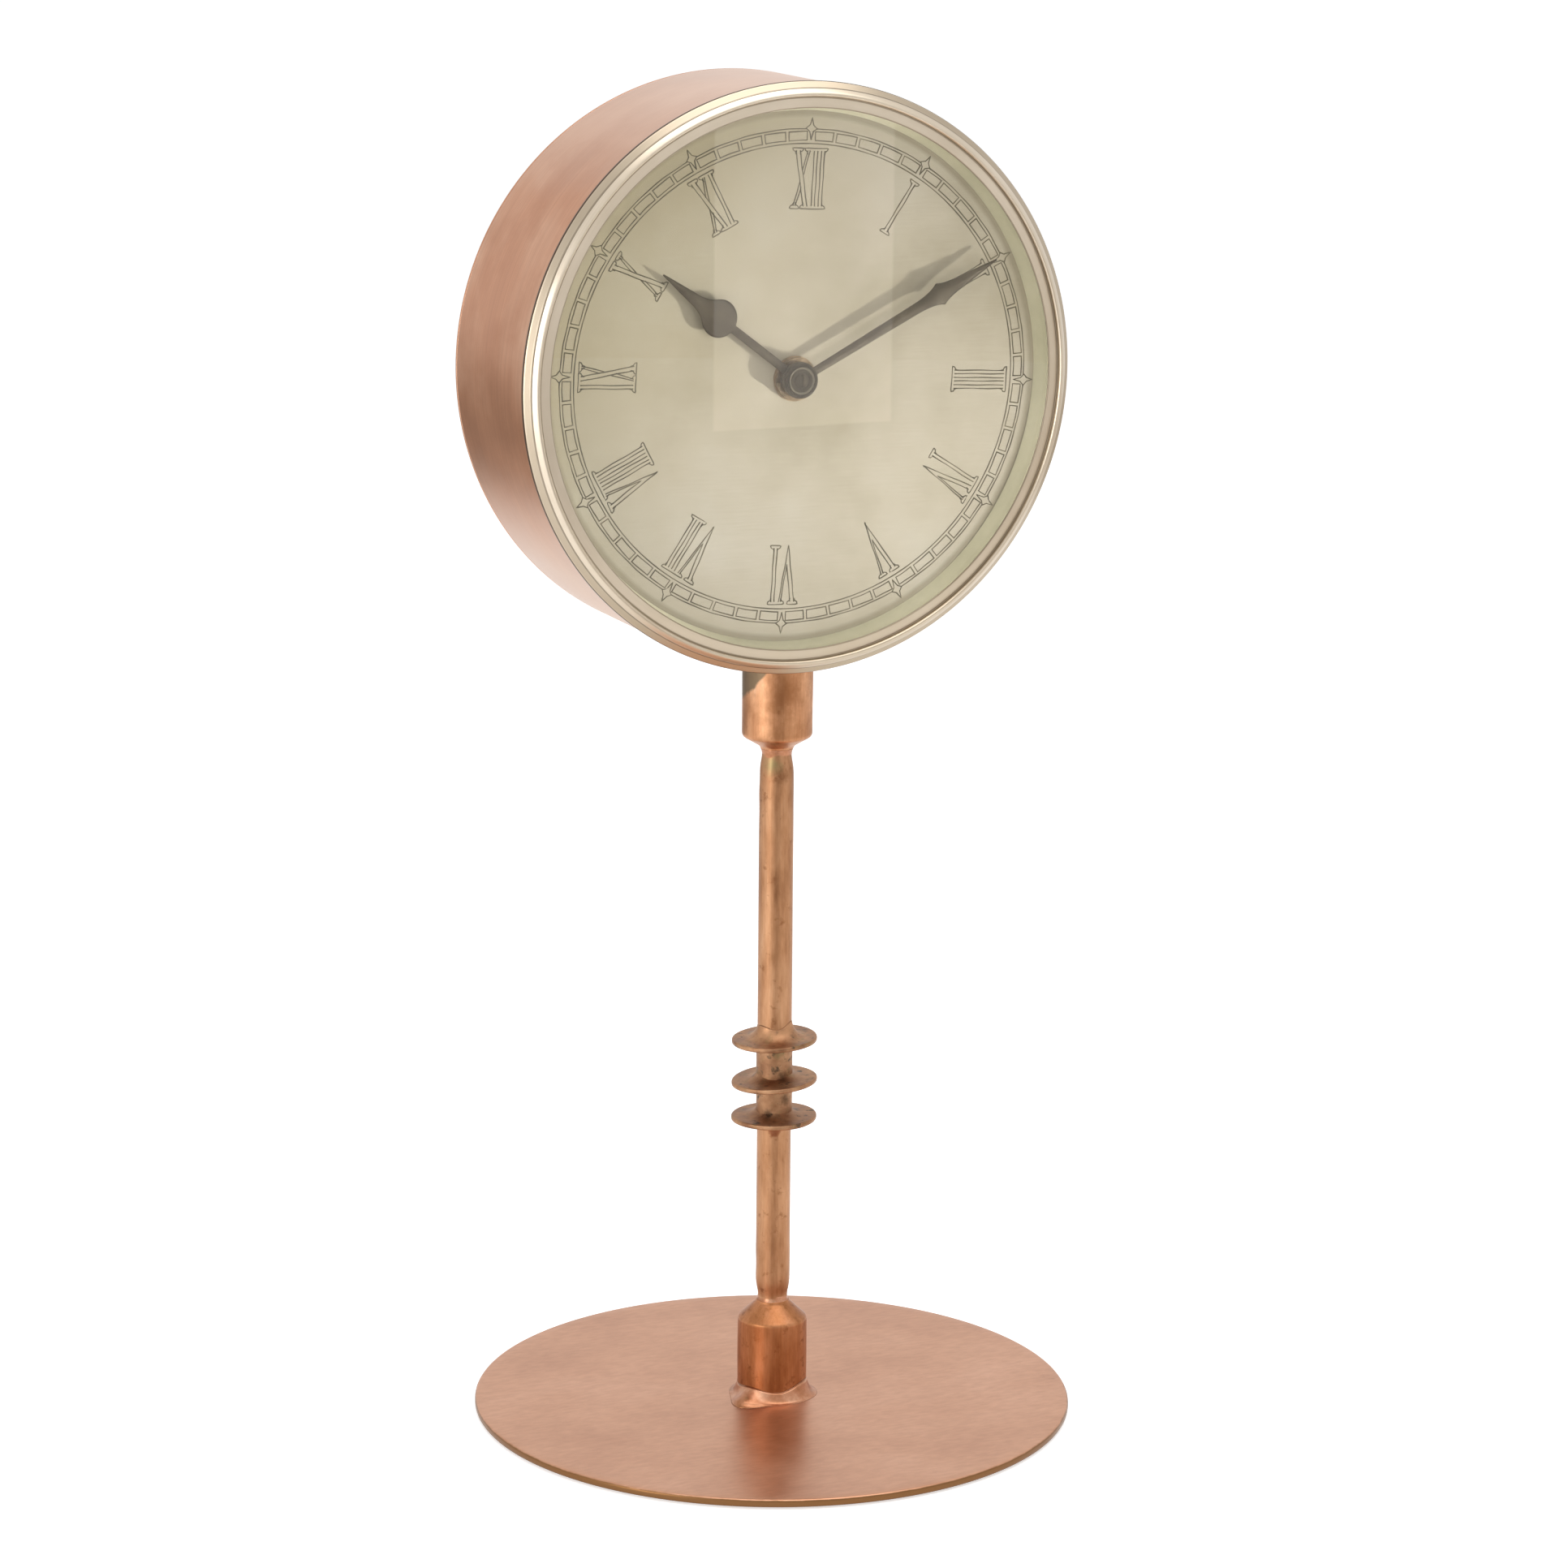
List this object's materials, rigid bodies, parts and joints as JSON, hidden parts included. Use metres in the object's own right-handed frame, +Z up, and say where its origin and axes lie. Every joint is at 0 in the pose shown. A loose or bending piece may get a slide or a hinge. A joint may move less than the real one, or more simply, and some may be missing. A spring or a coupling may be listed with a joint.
{
  "type": "table clock on stand",
  "caption": "Round analogue table clock: a copper drum with glazed Roman dial on a slim brazed rod, a disc base, hands driven by a quartz movement, and a press-fit back lid.",
  "frame": {"origin": "centre of the underside of the base, under the stem's axis", "axes": "+Z up along the stem, -Y towards the viewer of the dial, +X to the viewer's right"},
  "size_m": [0.15, 0.15, 0.3333],
  "materials": {
    "satin_copper": "satin spun copper, lightly lacquered",
    "warm_copper": "bare copper with heat tarnish",
    "braze": "cast brazing metal, uneven",
    "felt": "pressed felt",
    "champagne_metal": "satin champagne plated brass",
    "bezel_metal": "polished champagne plated brass",
    "rehaut_plastic": "moulded, olive beige",
    "clear_glass": "flat clear glass",
    "hand_metal": "satin dark bronze paint",
    "bright_brass": "turned brass",
    "black_plastic": "moulded black",
    "white_plastic": "moulded acetal",
    "bright_steel": "bright drawn steel",
    "magnet": "sintered, ground",
    "enamel_wire": "enamelled copper wire",
    "board_laminate": "glass fibre laminate",
    "cell_sleeve": "printed film sleeve, plain"
  },
  "bodies": {
    "stand_and_case": {"base_felt": "felt", "base_plate": "satin_copper", "bezel_ring": "bezel_metal", "case_drum": "satin_copper", "chip_cover": "black_plastic", "circuit_board": "board_laminate", "coil_bobbin": "white_plastic", "coil_core": "bright_steel", "coil_winding": "enamel_wire", "contact_negative": "bright_steel", "contact_positive": "bright_steel", "dial_nut": "bright_brass", "dial_plate": "champagne_metal", "dial_seat": "bright_brass", "dial_washer": "bright_brass", "disc_collar_lower": "warm_copper", "disc_collar_upper": "warm_copper", "foot_braze": "braze", "glass_lens": "clear_glass", "lower_neck_braze": "braze", "lower_socket": "warm_copper", "movement_front_case": "black_plastic", "movement_gasket": "black_plastic", "movement_rear_case": "black_plastic", "quartz_crystal": "bright_steel", "rehaut_ring": "rehaut_plastic", "saddle_braze": "braze", "stator_plate": "bright_steel", "stem_disc_lower": "warm_copper", "stem_disc_middle": "warm_copper", "stem_disc_upper": "warm_copper", "stem_rod": "warm_copper", "train_bridge": "white_plastic", "upper_neck_braze": "braze", "upper_socket": "warm_copper"},
    "minute_hand_set": {"minute_hand": "hand_metal", "minute_arbor": "bright_brass", "cap_nut": "hand_metal"},
    "hour_hand_set": {"hour_hand": "hand_metal", "hour_wheel": "white_plastic"},
    "minute_wheel_set": {"minute_wheel": "white_plastic"},
    "set_knob_set": {"set_knob": "black_plastic", "set_arbor": "white_plastic"},
    "centre_wheel_set": {"centre_wheel": "white_plastic"},
    "third_wheel_set": {"third_wheel": "white_plastic"},
    "fourth_wheel_set": {"fourth_wheel": "white_plastic"},
    "intermediate_wheel_set": {"intermediate_wheel": "white_plastic"},
    "rotor_set": {"rotor_pinion": "white_plastic", "rotor_magnet": "magnet"},
    "cell_set": {"battery_cell": "cell_sleeve"},
    "lid_set": {"back_lid": "satin_copper"}
  },
  "joints": [
    {"name": "minute_hand_turn", "type": "hinge", "parent": "stand_and_case", "child": "minute_hand_set", "pos_m": [0, 0, 0.262], "axis": [0, 1, 0], "continuous": true},
    {"name": "hour_hand_turn", "type": "hinge", "parent": "stand_and_case", "child": "hour_hand_set", "pos_m": [0, 0, 0.262], "axis": [0, 1, 0], "continuous": true},
    {"name": "minute_wheel_turn", "type": "hinge", "parent": "stand_and_case", "child": "minute_wheel_set", "pos_m": [0.00705, 0, 0.25943], "axis": [0, 1, 0], "continuous": true},
    {"name": "set_knob_turn", "type": "hinge", "parent": "stand_and_case", "child": "set_knob_set", "pos_m": [0.0141, 0, 0.25687], "axis": [0, 1, 0], "continuous": true},
    {"name": "fourth_wheel_turn", "type": "hinge", "parent": "stand_and_case", "child": "fourth_wheel_set", "pos_m": [0, 0, 0.262], "axis": [0, 1, 0], "continuous": true},
    {"name": "third_wheel_turn", "type": "hinge", "parent": "stand_and_case", "child": "third_wheel_set", "pos_m": [-0.009, 0, 0.262], "axis": [0, 1, 0], "continuous": true},
    {"name": "centre_wheel_turn", "type": "hinge", "parent": "stand_and_case", "child": "centre_wheel_set", "pos_m": [0, 0, 0.262], "axis": [0, 1, 0], "continuous": true},
    {"name": "intermediate_wheel_turn", "type": "hinge", "parent": "stand_and_case", "child": "intermediate_wheel_set", "pos_m": [0.00233, 0, 0.27069], "axis": [0, 1, 0], "continuous": true},
    {"name": "rotor_turn", "type": "hinge", "parent": "stand_and_case", "child": "rotor_set", "pos_m": [0.00922, 0, 0.27191], "axis": [0, 1, 0], "continuous": true},
    {"name": "cell_slide", "type": "slide", "parent": "stand_and_case", "child": "cell_set", "axis": [0, 1, 0], "range_m": [0, 0.02]},
    {"name": "lid_slide", "type": "slide", "parent": "stand_and_case", "child": "lid_set", "axis": [0, 1, 0], "range_m": [0, 0.06]}
  ],
  "couplings": [
    {"joint": "hour_hand_turn", "follows": "minute_hand_turn", "ratio": 0.083333},
    {"joint": "minute_wheel_turn", "follows": "minute_hand_turn", "ratio": -0.33333},
    {"joint": "set_knob_turn", "follows": "minute_hand_turn", "ratio": 1},
    {"joint": "third_wheel_turn", "follows": "fourth_wheel_turn", "ratio": -0.13333},
    {"joint": "centre_wheel_turn", "follows": "fourth_wheel_turn", "ratio": 0.016667},
    {"joint": "intermediate_wheel_turn", "follows": "fourth_wheel_turn", "ratio": -5},
    {"joint": "rotor_turn", "follows": "fourth_wheel_turn", "ratio": 30}
  ]
}
